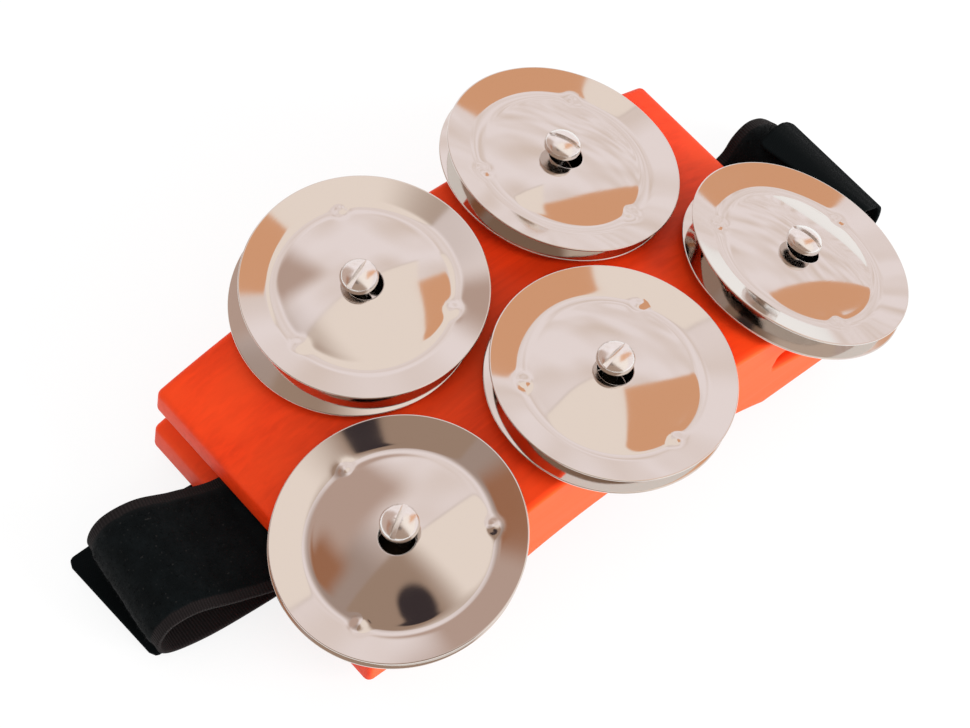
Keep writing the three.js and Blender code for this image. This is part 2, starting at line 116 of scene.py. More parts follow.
world = bpy.data.worlds.new("pale_room")
world.use_nodes = True
scene.world = world
tree = world.node_tree
tree.nodes.clear()
direction = add_node(tree, "ShaderNodeTexCoord").outputs["Generated"]
toward = add_node(tree, "ShaderNodeSeparateXYZ", {0: direction})
height = {0: toward.outputs["Z"], 1: HORIZON}
height = add_node(tree, "ShaderNodeMath", height, operation="MAXIMUM").outputs[0]
# How far along and across the ceiling a direction points, for each unit of height
along = add_node(tree, "ShaderNodeMath", {0: toward.outputs["X"], 1: height}, operation="DIVIDE").outputs[0]
across = add_node(tree, "ShaderNodeMath", {0: toward.outputs["Y"], 1: height}, operation="DIVIDE").outputs[0]
slanted = {0: across, 1: WALL_SLANT, 2: along}
slanted = add_node(tree, "ShaderNodeMath", slanted, operation="MULTIPLY_ADD").outputs[0]
spot_off = [
    add_node(tree, "ShaderNodeMath", {0: value, 1: stretch, 2: shift}, operation="MULTIPLY_ADD").outputs[0]
    for value, (stretch, shift) in zip((along, across), SPOT_FIT)
]
spot_place = add_node(tree, "ShaderNodeCombineXYZ", {0: spot_off[0], 1: spot_off[1]}).outputs[0]
from_spot = add_node(tree, "ShaderNodeVectorMath", {0: spot_place}, operation="LENGTH").outputs["Value"]
# The ceiling is mottled by soft light and shade
room_place = add_node(tree, "ShaderNodeCombineXYZ", {0: along, 1: across}).outputs[0]
shade = add_node(tree, "ShaderNodeTexNoise", {"Vector": room_place, "Scale": 2.2, "Detail": 1}).outputs["Fac"]
shade = add_node(tree, "ShaderNodeMapRange", {"Value": shade, "From Min": 0.4, "From Max": 0.7}).outputs[0]
ceiling = {"Fac": shade, "Color1": CEILING, "Color2": CEILING_SHADE}
ceiling = add_node(tree, "ShaderNodeMixRGB", ceiling).outputs[0]
colour = DIM_SIDE
# Each patch of the room: its colour, and where it starts to come in and is all there, for one direction
# or more
for patch, ranges in (
    (BEIGE_WALL, [(along, -0.3, -0.08)]),
    (DIM_CEILING, [(across, 0.28, 0.31)]),
    (ceiling, [(along, -0.5, -0.08), (across, 0.28, 0.31)]),
    (ceiling, [(slanted, 0.4, 0.44), (across, 0.12, 0.15)]),
    (GREY_PINK, [(along, 0.2, 0.03), (across, 0.5, 0.72)]),
    (BROWN_CORNER, [(along, -0.45, -0.65), (across, 0.4, 0.6), (across, 1.05, 0.85)]),
    (TAN_WALL, [(slanted, 0.4, 0.43), (across, 0.15, 0.12), (across, -0.27, -0.22)]),
    (ceiling, [(along, 0.9, 1.0), (across, -0.22, -0.27)]),
    (DARK_SPOT, [(from_spot, 0.1, 0.07)]),
):
    share = 1
    for value, start, end in ranges:
        edge = add_node(
            tree, "ShaderNodeMapRange", {"Value": value, "From Min": start, "From Max": end},
            interpolation_type="SMOOTHSTEP",
        ).outputs["Result"]
        share = add_node(tree, "ShaderNodeMath", {0: edge, 1: share}, operation="MULTIPLY").outputs[0]
    colour = add_node(tree, "ShaderNodeMixRGB", {"Fac": share, "Color1": colour, "Color2": patch}).outputs[0]
from_lens, looked_at = looking_rays(tree)
seen = add_node(tree, "ShaderNodeMixRGB", {"Fac": from_lens, "Color1": colour, "Color2": WHITE})
lighting = add_node(tree, "ShaderNodeBackground", {"Color": WHITE, "Strength": SKY_LIGHT})
backdrop = add_node(tree, "ShaderNodeBackground", {"Color": seen.outputs[0], "Strength": 1})
mixed = add_node(tree, "ShaderNodeMixShader", {0: looked_at, 1: lighting.outputs[0], 2: backdrop.outputs[0]})
add_node(tree, "ShaderNodeOutputWorld", {"Surface": mixed.outputs[0]})


# Floor: a plain pale sheet. Most of its white is its own, so that only a soft shadow is left on it.
def new_object(name, points, faces, material=None):
    """A mesh from points in millimetres and faces as lists of point numbers."""
    data = bpy.data.meshes.new(name)
    places = (np.asarray(points, float) * MM).tolist()
    data.from_pydata(places, [], [list(map(int, face)) for face in faces])
    data.polygons.foreach_set("use_smooth", [True] * len(data.polygons))
    if material:
        data.materials.append(material)
    made = bpy.data.objects.new(name, data)
    scene.collection.objects.link(made)
    return made


FLOOR_HALF = 4000
FLOOR_PALE = linear("#E8E8E8")
FLOOR_GREY = linear("#737373") # the share of its white that a shadow takes away
FLOOR_OWN_WHITE = 0.84

floor_paint = bpy.data.materials.new("matt_white_studio_floor")
floor_paint.use_nodes = True
tree = floor_paint.node_tree
tree.nodes.clear()
plain = add_node(tree, "ShaderNodeBsdfDiffuse", {"Color": FLOOR_PALE})
shaded = add_node(tree, "ShaderNodeBsdfDiffuse", {"Color": FLOOR_GREY})
own = add_node(tree, "ShaderNodeEmission", {"Color": WHITE, "Strength": FLOOR_OWN_WHITE})
white = add_node(tree, "ShaderNodeAddShader", {0: own.outputs[0], 1: shaded.outputs[0]})
looked_at = looking_rays(tree)[1]
mixed = add_node(tree, "ShaderNodeMixShader", {0: looked_at, 1: plain.outputs[0], 2: white.outputs[0]})
add_node(tree, "ShaderNodeOutputMaterial", {"Surface": mixed.outputs[0]})
corners = [(x * FLOOR_HALF, y * FLOOR_HALF, 0) for x, y in ((-1, -1), (1, -1), (1, 1), (-1, 1))]
floor = new_object("floor", corners, [(0, 1, 2, 3)], floor_paint)

# Key lamp: one large soft lamp at the front and to the right, so the block's front is its brightest side
# and its left end the dimmest. The steel is kept from mirroring it and shows the room alone.
KEY_TOWARD = Vector((0.4, -0.85, 0.35)).normalized()
KEY_DISTANCE = 1.8
KEY_SIZE = 1.1
KEY_LEVEL = 0.95 # light on a surface that faces the lamp, where 1 shows a colour as it is written

key = bpy.data.lights.new("key", "AREA")
key.shape = "DISK"
key.size = KEY_SIZE
key.energy = KEY_LEVEL * (math.pi * KEY_DISTANCE) ** 2
key_lamp = bpy.data.objects.new("key", key)
scene.collection.objects.link(key_lamp)
key_lamp.matrix_world = Matrix.LocRotScale(
    KEY_TOWARD * KEY_DISTANCE, KEY_TOWARD.to_track_quat("Z", "Y"), None,
)
key_lamp.visible_camera = False
key_lamp.visible_glossy = False

# Block: one piece of softwood, band-sawn along the arc of its top, the arch over the shoe and the two
# slots for the webbing. Its edges are sanded round and it is brushed with orange-red paint.
BLOCK_LOW, BLOCK_HIGH = (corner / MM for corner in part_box("body_block"))
HALF = BLOCK_HIGH.x
HALF_WIDE = BLOCK_HIGH.y
FOOT_Z = BLOCK_LOW.z
CROWN_Z = BLOCK_HIGH.z
TOP_RADIUS = 212
CROWN_THICK = 24.3
FOOT_LONG = 26
EASE = 1.5
END_EASE = 1.8
SLOT_EASE = 0.7
SLOT_LONG = 26.5
SLOT_DEEP = 13.4
SLOT_END_HIGH = 4.4
SLOT_MOUTH_HIGH = 6.1
TOP_STEPS = 30
SLOT_STEPS = 8
ARCH_STEPS = 20
EASE_STEPS = 6
TOP_CENTRE = CROWN_Z - TOP_RADIUS
TOP_TURN = math.asin(HALF / TOP_RADIUS)
ARCH_HALF = HALF - FOOT_LONG
ARCH_RISE = CROWN_Z - FOOT_Z - CROWN_THICK
ARCH_RADIUS = (ARCH_HALF ** 2 + ARCH_RISE ** 2) / (2 * ARCH_RISE)
FLOOR_RADIUS = TOP_RADIUS - SLOT_DEEP
SLOT_END_TURN = math.asin((HALF - SLOT_LONG) / FLOOR_RADIUS)
SLOT_MOUTH_TURN = math.asin(HALF / FLOOR_RADIUS)
MOUTH_ROOF = TOP_CENTRE + math.sqrt((FLOOR_RADIUS + SLOT_MOUTH_HIGH) ** 2 - HALF ** 2)


def on_top(radius, turn):
    """A point at a radius and a turn from the vertical about the centre of the curved top."""
    return np.array([radius * math.sin(turn), TOP_CENTRE + radius * math.cos(turn)])


def eased_corner(before, corner, after, radius):
    """The points of an arc that rounds a corner of an outline."""
    back = (before - corner) / np.linalg.norm(before - corner)
    on = (after - corner) / np.linalg.norm(after - corner)
    half = math.acos(np.clip(back @ on, -1, 1)) / 2
    middle = (back + on) / np.linalg.norm(back + on)
    centre = corner + middle * radius / math.sin(half)
    start = corner + back * radius / math.tan(half) - centre
    end = corner + on * radius / math.tan(half) - centre
    sweep = math.pi - 2 * half
    weights = [
        (math.sin((1 - share) * sweep), math.sin(share * sweep)) for share in np.linspace(0, 1, EASE_STEPS)
    ]
    return [centre + (a * start + b * end) / math.sin(sweep) for a, b in weights]


def right_half_outline():
    """The right half of the block from the crown round to the crown of the arch, with its eased corners."""
    marked = [(on_top(TOP_RADIUS, share * TOP_TURN), 0) for share in np.linspace(0, 1, TOP_STEPS)[:-1]]
    marked.append((on_top(TOP_RADIUS, TOP_TURN), END_EASE))
    marked.append((np.array([HALF, MOUTH_ROOF]), END_EASE))
    turns = np.linspace(SLOT_MOUTH_TURN, SLOT_END_TURN, SLOT_STEPS)
    # The slot's roof, without the two points that the eased edge of the mouth takes up
    for share, turn in list(zip(np.linspace(0, 1, SLOT_STEPS), turns))[2:]:
        high = SLOT_MOUTH_HIGH + share * (SLOT_END_HIGH - SLOT_MOUTH_HIGH)
        marked.append((on_top(FLOOR_RADIUS + high, turn), SLOT_EASE if share == 1 else 0))
    for turn in turns[::-1]:
        ease = {SLOT_END_TURN: SLOT_EASE, SLOT_MOUTH_TURN: END_EASE}.get(turn, 0)
        marked.append((on_top(FLOOR_RADIUS, turn), ease))
    marked.append((np.array([HALF, FOOT_Z]), END_EASE))
    reach = math.asin(ARCH_HALF / ARCH_RADIUS)
    for turn in np.linspace(reach, 0, ARCH_STEPS):
        z = FOOT_Z + ARCH_RISE - ARCH_RADIUS * (1 - math.cos(turn))
        marked.append((np.array([ARCH_RADIUS * math.sin(turn), z]), END_EASE if turn == reach else 0))
    outline = []
    for i, (point, ease) in enumerate(marked):
        outline += eased_corner(marked[i - 1][0], point, marked[i + 1][0], ease) if ease else [point]
    return np.array(outline)


# The outline is drawn in towards each long side, which rounds the edges there
right = right_half_outline()
outline = np.concatenate([right, right[-2:0:-1] * [-1, 1]])
edge = np.roll(outline, -1, 0) - np.roll(outline, 1, 0)
inward = np.stack([edge[:, 1], -edge[:, 0]], 1) / np.linalg.norm(edge, axis=1)[:, None]
rows = []
for side in (1, -1):
    turns = np.radians(np.linspace(90, 0, EASE_STEPS))
    for turn in turns if side > 0 else turns[::-1]:
        inset = outline + inward * EASE * (1 - math.cos(turn))
        y = side * (HALF_WIDE - EASE + EASE * math.sin(turn))
        rows.append(np.stack([inset[:, 0], np.full(len(inset), y), inset[:, 1]], 1))
count = len(outline)
faces = []
for row in range(len(rows) - 1):
    for i in range(count):
        a, b = row * count + i, row * count + (i + 1) % count
        faces.append((a, a + count, b + count, b))
ends = [list(range(count)), list(range((len(rows) - 1) * count, len(rows) * count))[::-1]]

# Satin orange-red enamel brushed over sanded softwood, with faint streaks along the grain and a colour
# that varies with its thickness. The long sides are a lighter orange, which is painted light: they are shown
# as brightly lit as the front under its strong lamp. The paint round the screws is black, which is painted
# shade for the shadow under the heads and the jingles.
PAINT = linear("#EF3A11")
PAINT_THIN = linear("#E0340F")
PAINT_THICK = linear("#F04418")
# painted light: the lighter orange of the long sides, as lit by the strong lamp on the front
SIDE_PAINTED_LIGHT = linear("#F2531A")
# painted shade: the near-black that the paint turns round each screw, for the shadow under its head and
# jingles
SCREW_SHADE = linear("#0C0707")
SCREW_SHADE_R = 5.2
SCREW_SHADE_EDGE = 1
STREAK_ACROSS = 1.6 # mm between the grain's streaks
STREAK_LONG = 45
GRAIN_DEEP = 0.05


def new_finish(name, plain):
    """A material with plain values on its shader's own sockets. It returns it, its nodes and the shader."""
    finish = bpy.data.materials.new(name)
    finish.use_nodes = True
    shader = finish.node_tree.nodes["Principled BSDF"]
    for socket, value in plain.items():
        shader.inputs[socket].default_value = value
    return finish, finish.node_tree, shader


enamel, tree, gloss = new_finish(
    "orange_red_enamel_on_softwood", {"Specular IOR Level": 0.25, "Specular Tint": linear("#FFE6B0")},
)
place = add_node(tree, "ShaderNodeTexCoord").outputs["Object"]
streaks = [1 / (size * MM) for size in (STREAK_LONG, STREAK_ACROSS, STREAK_ACROSS)]
stretched = add_node(tree, "ShaderNodeVectorMath", {0: place, 1: streaks}, operation="MULTIPLY").outputs[0]
grain = add_node(
    tree, "ShaderNodeTexNoise", {"Vector": stretched, "Scale": 1.0, "Detail": 3, "Distortion": 0.4},
).outputs["Fac"]
cloud = add_node(tree, "ShaderNodeTexNoise", {"Vector": place, "Scale": 45, "Detail": 2}).outputs["Fac"]
thin = add_node(tree, "ShaderNodeMapRange", {"Value": grain, "From Min": 0.35, "From Max": 0.65}).outputs[0]
colour = add_node(tree, "ShaderNodeMixRGB", {"Fac": thin, "Color1": PAINT, "Color2": PAINT_THIN}).outputs[0]
thick = add_node(tree, "ShaderNodeMapRange", {"Value": cloud, "From Min": 0.4, "From Max": 0.75}).outputs[0]
thick_mix = {"Fac": thick, "Color1": colour, "Color2": PAINT_THICK}
colour = add_node(tree, "ShaderNodeMixRGB", thick_mix).outputs[0]
# Painted light: faces that point along Y, the long sides, take the lighter orange of a strongly lit side
normal = add_node(tree, "ShaderNodeTexCoord").outputs["Normal"]
facing = add_node(tree, "ShaderNodeSeparateXYZ", {0: normal})
painted_light_side = add_node(tree, "ShaderNodeMath", {0: facing.outputs["Y"]}, operation="ABSOLUTE").outputs[0]
painted_light_side = {"Value": painted_light_side, "From Min": 0.7, "From Max": 0.95}
painted_light_side = add_node(tree, "ShaderNodeMapRange", painted_light_side).outputs[0]
painted_light_mix = {"Fac": painted_light_side, "Color1": colour, "Color2": SIDE_PAINTED_LIGHT}
colour = add_node(tree, "ShaderNodeMixRGB", painted_light_mix).outputs[0]
# The distance to the nearest screw, from where each goes into the top: the screws stand square to the
# curved top, so the top is TOP_RADIUS * (1 - axis.z) lower there than at the crown
screw_axes = {joint["child"]: Vector(joint["axis"]) for joint in frame["joints"]}
to_screw = 1.0
for letter in "abcde":
    axis = screw_axes[f"jingle_{letter}_lower"]
    foot = sum(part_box(f"screw_{letter}"), Vector()) / 2
    foot += axis * ((CROWN_Z * MM - TOP_RADIUS * MM * (1 - axis.z)) - foot.z) / axis.z
    away = add_node(tree, "ShaderNodeVectorMath", {0: place, 1: foot}, operation="DISTANCE").outputs["Value"]
    to_screw = add_node(tree, "ShaderNodeMath", {0: away, 1: to_screw}, operation="MINIMUM").outputs[0]
# Painted shade: the paint goes black in a ring round each screw's foot, for the deep shadow under the head
# and the jingles
screw_shade = {"Value": to_screw, "From Min": (SCREW_SHADE_R + SCREW_SHADE_EDGE) * MM, "From Max": SCREW_SHADE_R * MM}
screw_shade = add_node(tree, "ShaderNodeMapRange", screw_shade).outputs[0]
colour = add_node(tree, "ShaderNodeMixRGB", {"Fac": screw_shade, "Color1": colour, "Color2": SCREW_SHADE}).outputs[0]
tree.links.new(colour, gloss.inputs["Base Color"])
rough = add_node(tree, "ShaderNodeMapRange", {"Value": grain, "To Min": 0.38, "To Max": 0.5}).outputs[0]
tree.links.new(rough, gloss.inputs["Roughness"])
grained = {"Height": grain, "Strength": 0.5, "Distance": GRAIN_DEEP * MM}
raised = add_node(tree, "ShaderNodeBump", grained).outputs[0]
tree.links.new(raised, gloss.inputs["Normal"])

block = new_object("block", np.concatenate(rows), faces + ends, enamel)
block.data.polygons.foreach_set("use_smooth", [True] * len(faces) + [False] * len(ends))
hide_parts("body_block")
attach(block, "block")

# Jingles: discs pressed from thin steel, with a domed middle round the hole, a valley, a raised lip and
# three dimples punched into the valley. They are nickel-plated and bright as mirrors.
JINGLE_R = 27.5
VALLEY_R = 20
HOLE_R = 4
SHEET = 0.5
LIP_RISE = 1.9
DOME_RISE = 2.7
CREASE = 0.9 # rounds the bend along the valley
DIMPLE_DEEP = 0.45
DIMPLE_SPREAD = 1.5
DIMPLES = 3
DIMPLE_ANGLE = {"a": 85, "b": 66, "c": 31, "d": 40, "e": 10} # degrees from +X to a dimple of the upper one
LOWER_DIMPLE_TURN = 35
WAVES = 5
WAVE_HIGH = 0.032
WAVE_LONG = (14, 34)
FINE_HALF = 2.8 # half the width of the band round the valley that has close rows
EDGE_STEP = 0.1 # a row this near an edge keeps the face's polish flat up to it
JINGLE_SEGMENTS = 168


def jingle_height(radius):
    """Height of the pressed sheet over its valley."""
    dome = DOME_RISE * (1 - (radius / VALLEY_R) ** 2)
    lip = LIP_RISE * (radius - VALLEY_R) / (JINGLE_R - VALLEY_R)
    near = np.clip(1 - np.abs(dome - lip) / CREASE, 0, 1)
    return np.maximum(dome, lip) + CREASE * near ** 2 / 4


def ring_section():
    """The sheet cut through from the hole to the rim: under face, rim, upper face and the hole's edge."""
    round_edge = SHEET / 2
    radii = np.concatenate([
        [HOLE_R + round_edge],
        np.linspace(HOLE_R + round_edge + EDGE_STEP, VALLEY_R - FINE_HALF - 0.4, 10),
        np.linspace(VALLEY_R - FINE_HALF, VALLEY_R + FINE_HALF, 15),
        np.linspace(VALLEY_R + FINE_HALF + 0.5, JINGLE_R - round_edge - EDGE_STEP, 6),
        [JINGLE_R - round_edge],
    ])
    under = np.stack([radii, jingle_height(radii)], 1)
    turns = np.radians(np.linspace(-90, 90, 7)[1:-1])
    bulge = round_edge * np.stack([np.cos(turns), np.sin(turns) + 1], 1)
    return np.concatenate([
        under,
        under[-1] + bulge,
        under[::-1] + [0, SHEET],
        under[0] + bulge[::-1] * [-1, 1],
    ])


def lathe(section, segments):
    """Points and faces of a closed section of (radius, height) turned about Z."""
    turns = np.linspace(0, 2 * math.pi, segments, endpoint=False)
    x = np.outer(np.cos(turns), section[:, 0])
    y = np.outer(np.sin(turns), section[:, 0])
    z = np.broadcast_to(section[:, 1], x.shape)
    points = np.stack([x, y, z], 2).reshape(-1, 3)
    size = len(section)
    k, j = np.meshgrid(np.arange(segments), np.arange(size), indexing="ij")
    after, over = (k + 1) % segments, (j + 1) % size
    faces = np.stack([k * size + j, after * size + j, after * size + over, k * size + over], 2)
    return points, faces.reshape(-1, 4)


def jingle_mesh(random):
    """A jingle as pressed: its dimples, and a sheet that isn't quite even."""
    points, faces = lathe(ring_section(), JINGLE_SEGMENTS)
    lift = np.zeros(len(points))
    for turn in np.arange(DIMPLES) * 2 * math.pi / DIMPLES:
        centre = VALLEY_R * np.array([math.cos(turn), math.sin(turn)])
        away = np.linalg.norm(points[:, :2] - centre, axis=1)
        lift += DIMPLE_DEEP * np.exp(-((away / DIMPLE_SPREAD) ** 2))
    for _ in range(WAVES):
        length = random.uniform(*WAVE_LONG)
        heading = random.uniform(0, math.pi)
        phase = random.uniform(0, 2 * math.pi)
        run = points[:, 0] * math.cos(heading) + points[:, 1] * math.sin(heading)
        lift += WAVE_HIGH * length / np.mean(WAVE_LONG) * np.sin(2 * math.pi * run / length + phase)
    points[:, 2] += lift
    return points, faces


def node_points(name):
    """The different corners of a CAD node, in millimetres."""
    corners = np.array([tuple(vertex.co) for vertex in frame["nodes"][name].data.vertices]) / MM
    return np.unique(corners.round(4), axis=0)


def along_block(axis, degrees):
    """The direction square to an axis that a turn from +X towards +Y gives."""
    side = np.array([math.cos(math.radians(degrees)), math.sin(math.radians(degrees)), 0])
    side -= axis * (side @ axis)
    return side / np.linalg.norm(side)


def pose_at(place, axis, side):
    """The move that takes Z to an axis, X to a direction square to it and the origin to a place in mm."""
    turned = Matrix((side, np.cross(axis, side), axis)).transposed().to_4x4()
    return Matrix.Translation(Vector(place) * MM) @ turned


def jingle_pose(name, up, degrees):
    """Where a jingle lies: the middle of its valley, its axis and the direction of one dimple."""
    points = node_points(name)
    middle = points.mean(0)
    axis = np.linalg.svd(points - middle, full_matrices=False)[2][2]
    axis *= up * math.copysign(1, axis[2])
    valley = middle + axis * ((points - middle) @ axis).min()
    return pose_at(valley, axis, along_block(axis, degrees))


def keep_vectors(piece, name, vectors):
    """Keeps a vector for each point of a mesh, for its material."""
    kept = piece.data.attributes.new(name, "FLOAT_VECTOR", "POINT")
    kept.data.foreach_set("vector", np.asarray(vectors, np.float32).ravel())


# Bright nickel plate on polished steel: a warm grey metal that mirrors almost sharply. The polishing
# leaves very fine rings round the hole, here drawn ten times as coarse as they are so that they show.
NICKEL = linear("#E1DBD6")
NICKEL_ROUGH = 0.045 # and up to twice this where the plate is a little clouded
POLISH_RING = 0.35 # mm from ring to ring
POLISH_DEEP = 0.0006

nickel, tree, gloss = new_finish("bright_nickel_plate", {"Base Color": NICKEL, "Metallic": 1})
place = add_node(tree, "ShaderNodeTexCoord").outputs["Object"]
from_axis = add_node(tree, "ShaderNodeAttribute", attribute_name="from_axis").outputs["Vector"]
parts = add_node(tree, "ShaderNodeSeparateXYZ", {0: from_axis}).outputs
flat = add_node(tree, "ShaderNodeCombineXYZ", {0: parts["X"], 1: parts["Y"]}).outputs[0]
radius = add_node(tree, "ShaderNodeVectorMath", {0: flat}, operation="LENGTH").outputs["Value"]
polish = {"W": radius, "Scale": 1 / (POLISH_RING * MM), "Detail": 2}
rings = add_node(tree, "ShaderNodeTexNoise", polish, noise_dimensions="1D").outputs["Fac"]
cloud = add_node(tree, "ShaderNodeTexNoise", {"Vector": place, "Scale": 70, "Detail": 4}).outputs["Fac"]
rough = add_node(
    tree, "ShaderNodeMapRange",
    {"Value": cloud, "From Min": 0.35, "From Max": 0.7, "To Min": NICKEL_ROUGH, "To Max": 2 * NICKEL_ROUGH},
).outputs[0]
tree.links.new(rough, gloss.inputs["Roughness"])
polished = {"Height": rings, "Strength": 1, "Distance": POLISH_DEEP * MM}
raised = add_node(tree, "ShaderNodeBump", polished).outputs[0]
tree.links.new(raised, gloss.inputs["Normal"])

random = np.random.default_rng(11)
for letter in "abcde":
    for place_on_screw, up in (("lower", -1), ("upper", 1)):
        node = f"jingle_{letter}_{place_on_screw}"
        points, faces = jingle_mesh(random)
        piece = new_object(f"pressed_{node}", points, faces, nickel)
        keep_vectors(piece, "from_axis", points * MM)
        degrees = DIMPLE_ANGLE[letter] + (0 if up > 0 else LOWER_DIMPLE_TURN)
        piece.data.transform(jingle_pose(node, up, degrees))
        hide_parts(node)
        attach(piece, node)

# Screws: round-head slotted wood screws, turned from wire and bright zinc-plated. Each holds a pair of
# jingles loosely under its head. The slot is sawn, so its edges are crisp.
HEAD_R = 4.25
HEAD_RISE = 3
HEAD_EDGE = 0.9
SHANK_R = 1.8
SCREW_LONG = 25
SCREW_TIP = 6
DRIVE_WIDE = 1.2
DRIVE_DEEP = 1.4
DRIVE_ANGLE = {"a": 28, "b": 17, "c": 8, "d": -65, "e": -78} # degrees from +X to the line of the slot
EDGE_ROUND = 0.08
NEAR_AXIS = 0.02 # how close to its axis the section of a turned piece starts and ends
SCREW_SEGMENTS = 64


def cut_and_eased(piece, cutter, width):
    """Cuts one object out of another, eases the sharp edges and keeps the result as the mesh."""
    cut = piece.modifiers.new("cut", "BOOLEAN")
    cut.object = cutter
    cut.solver = "EXACT"
    ease = piece.modifiers.new("ease", "BEVEL")
    ease.width = width * MM
    ease.segments = 2
    ease.limit_method = "ANGLE"
    ease.angle_limit = math.radians(40)
    bpy.context.view_layer.update()
    made = bpy.data.meshes.new_from_object(piece.evaluated_get(bpy.context.evaluated_depsgraph_get()))
    piece.modifiers.clear()
    piece.data = made
    bpy.data.objects.remove(cutter)
    made.polygons.foreach_set("use_smooth", [True] * len(made.polygons))
    made.set_sharp_from_angle(angle=math.radians(35))


def screw_section():
    """Half of the screw from its point up, closed along its axis."""
    turns = np.radians(np.linspace(0, 90, 12))
    dome = np.stack([HEAD_R * np.cos(turns), HEAD_EDGE + (HEAD_RISE - HEAD_EDGE) * np.sin(turns)], 1)
    stem = [(NEAR_AXIS, -SCREW_LONG), (SHANK_R * 0.35, 0.8 - SCREW_LONG), (SHANK_R, SCREW_TIP - SCREW_LONG)]
    head = [(SHANK_R, 0), (HEAD_R - 0.15, 0), (HEAD_R, 0.15)]
    dome[-1, 0] = NEAR_AXIS
    return np.array([*stem, *head, *dome])


def solid_lathe(section, segments):
    """A turned solid whose section runs from near the axis to near the axis, with its two ends closed."""
    points, faces = lathe(section, segments)
    size = len(section)
    sides = [face for i, face in enumerate(faces.tolist()) if i % size != size - 1]
    bottom = [k * size for k in range(segments)][::-1]
    top = [k * size + size - 1 for k in range(segments)]
    return points, sides + [bottom, top]


# Bright zinc plate: a light grey with a soft shine, a little uneven where the barrel tumbled it.
ZINC = linear("#F0EEEC")
TUMBLE_DEEP = 0.02

zinc, tree, gloss = new_finish("bright_zinc_plate", {"Base Color": ZINC, "Metallic": 1})
place = add_node(tree, "ShaderNodeTexCoord").outputs["Object"]
tumbled = add_node(tree, "ShaderNodeTexNoise", {"Vector": place, "Scale": 900, "Detail": 3}).outputs["Fac"]
rough = add_node(tree, "ShaderNodeMapRange", {"Value": tumbled, "To Min": 0.14, "To Max": 0.3}).outputs[0]
tree.links.new(rough, gloss.inputs["Roughness"])
dented = {"Height": tumbled, "Strength": 0.6, "Distance": TUMBLE_DEEP * MM}
raised = add_node(tree, "ShaderNodeBump", dented).outputs[0]
tree.links.new(raised, gloss.inputs["Normal"])

for letter in "abcde":
    node = f"screw_{letter}"
    axis = np.array(screw_axes[f"jingle_{letter}_lower"])
    points = node_points(node)
    middle = points.mean(0)
    seat = middle + axis * (((points - middle) @ axis).max() - HEAD_RISE)

    points, faces = solid_lathe(screw_section(), SCREW_SEGMENTS)
    piece = new_object(f"round_head_{node}", points, faces, zinc)
    box = [
        (x * (HEAD_R + 1), y * DRIVE_WIDE / 2, HEAD_RISE + (z if z > 0 else -DRIVE_DEEP))
        for z in (-1, 1) for x, y in ((-1, -1), (1, -1), (1, 1), (-1, 1))
    ]
    sides = [(3, 2, 1, 0), (4, 5, 6, 7), (0, 1, 5, 4), (1, 2, 6, 5), (2, 3, 7, 6), (3, 0, 4, 7)]
    cut_and_eased(piece, new_object("drive_cutter", box, sides), EDGE_ROUND)
    piece.data.transform(pose_at(seat, axis, along_block(axis, DRIVE_ANGLE[letter])))
    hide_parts(node)
    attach(piece, "block")

# Pile straps: woven nylon webbing with a raised looped pile. The left one comes out of its slot, turns
# over in a loop and runs under the block. The right one comes out in a hump under the last jingles.
STRAP_WIDE = 30
STRAP_Y = 0.6
PILE_THICK = 1.6
HOOK_THICK = 1.3
CLEAR = 0.3
TUCK_LONG = 11
TUCK_GAP = 0.5
LEFT_REACH = 32
UNDER_END = 7
LAST_SCREW = 14.3
PAST_RIM = 22.1
HUMP_UNDER_RIM = 1
MOUTH_SAG = 3
STRAP_CORNER = 3
SELVEDGE = 2.7
WEB_STEP = 0.7
WEB_COLUMNS = 41


def smooth_line(rows, shares):
    """Points on a smooth line through rows, at shares of the way counted in rows."""
    rows = np.asarray(rows, float)
    padded = np.concatenate([[2 * rows[0] - rows[1]], rows, [2 * rows[-1] - rows[-2]]])
    found = []
    for share in shares:
        place = share * (len(rows) - 1)
        i = min(int(place), len(rows) - 2)
        t = place - i
        p = padded[i:i + 4]
        gap = [max(np.linalg.norm(p[k + 1][:3] - p[k][:3]) ** 0.5, 1e-4) for k in range(3)]
        start = (p[1] - p[0]) / gap[0] - (p[2] - p[0]) / (gap[0] + gap[1]) + (p[2] - p[1]) / gap[1]
        end = (p[2] - p[1]) / gap[1] - (p[3] - p[1]) / (gap[1] + gap[2]) + (p[3] - p[2]) / gap[2]
        start, end = start * gap[1], end * gap[1]
        found.append(
            p[1] + start * t + (3 * (p[2] - p[1]) - 2 * start - end) * t ** 2
            + (2 * (p[1] - p[2]) + start + end) * t ** 3
        )
    return np.array(found)


